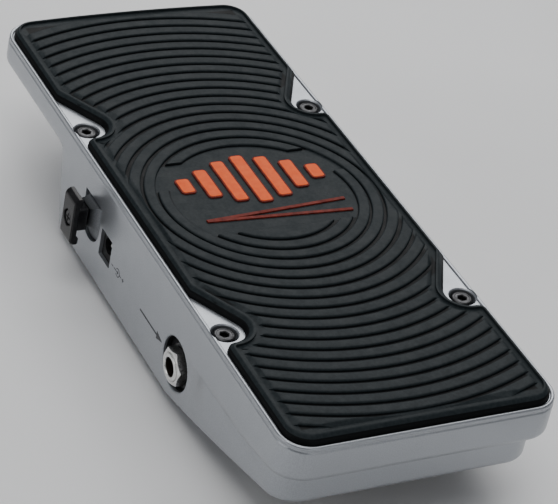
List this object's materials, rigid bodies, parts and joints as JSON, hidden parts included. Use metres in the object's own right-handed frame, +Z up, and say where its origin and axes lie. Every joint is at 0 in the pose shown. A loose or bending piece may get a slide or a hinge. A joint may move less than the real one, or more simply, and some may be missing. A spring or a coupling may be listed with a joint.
{
  "type": "rocker effect pedal",
  "caption": "Low one-piece rocker pedal for an electric instrument: silver die-cast wedge with a ribbed rubber tread, side jacks, power socket and cable cleat.",
  "frame": {"origin": "on the ground, in the face of the middle sole pad, below the middle of the tread", "axes": "+X to the player's right, +Y towards the toe end, +Z up; the pedal rests toe-down with its top level"},
  "size_m": [0.1062, 0.24, 0.0452],
  "materials": {
    "silver_paint": "fine metallic silver, satin",
    "black_rubber": "matt, finely grained",
    "cleat_plastic": "gloss",
    "black_plastic": "satin",
    "nickel": "bright plating",
    "dark_steel": "black oxide",
    "zinc_steel": "zinc plated",
    "board_green": "solder mask",
    "chip_black": "moulded",
    "capacitor_can": "drawn can",
    "battery_case": "plain dark jacket",
    "grey_foam": "open-cell foam",
    "contact_brass": "spring brass"
  },
  "bodies": {
    "housing": {"audio_chip": "chip_black", "battery": "battery_case", "battery_pad": "grey_foam", "battery_snap": "black_plastic", "board_screw_1": "zinc_steel", "board_screw_2": "zinc_steel", "board_screw_3": "zinc_steel", "board_screw_4": "zinc_steel", "bracket_screw_1": "zinc_steel", "bracket_screw_2": "zinc_steel", "cable_cleat": "cleat_plastic", "capacitor_1": "capacitor_can", "capacitor_2": "capacitor_can", "capacitor_3": "capacitor_can", "cleat_base": "silver_paint", "cleat_screw": "dark_steel", "control_chip": "chip_black", "cover_screw_1": "dark_steel", "cover_screw_2": "dark_steel", "cover_screw_3": "dark_steel", "cover_screw_4": "dark_steel", "dc_jack_body": "black_plastic", "dc_jack_pin": "nickel", "heel_sole_pad": "black_rubber", "input_jack_body": "black_plastic", "input_jack_bushing": "nickel", "input_jack_nut": "nickel", "input_jack_washer": "dark_steel", "lower_housing": "silver_paint", "main_board": "board_green", "middle_sole_pad": "black_rubber", "motion_sensor": "chip_black", "output_jack_body": "black_plastic", "output_jack_bushing": "nickel", "output_jack_nut": "nickel", "output_jack_washer": "dark_steel", "power_chip": "chip_black", "switch_bracket": "zinc_steel", "toe_bumper_1": "black_rubber", "toe_bumper_2": "black_rubber", "toe_switch": "black_plastic", "top_cover": "silver_paint", "tread_mat": "black_rubber"},
    "toe_button": {"toe_plunger": "black_plastic", "toe_spring": "zinc_steel"},
    "output_tip": {"output_jack_contact": "contact_brass"},
    "input_tip": {"input_jack_contact": "contact_brass"}
  },
  "joints": [
    {"name": "toe_press", "type": "slide", "parent": "housing", "child": "toe_button", "axis": [0, 0, 1], "range_m": [0, 0.002], "stiffness_N_per_m": 1500, "springref_m": -0.003, "deforming": ["toe_spring"]},
    {"name": "output_tip_flex", "type": "hinge", "parent": "housing", "child": "output_tip", "pos_m": [-0.0374, -0.0456, 0.0236], "axis": [0, -1, 0], "range_deg": [0, 3.2], "stiffness_Nm_per_rad": 0.3, "springref_deg": -2.86},
    {"name": "input_tip_flex", "type": "hinge", "parent": "housing", "child": "input_tip", "pos_m": [0.0374, -0.0456, 0.0236], "axis": [0, 1, 0], "range_deg": [0, 3.2], "stiffness_Nm_per_rad": 0.3, "springref_deg": -2.86}
  ]
}
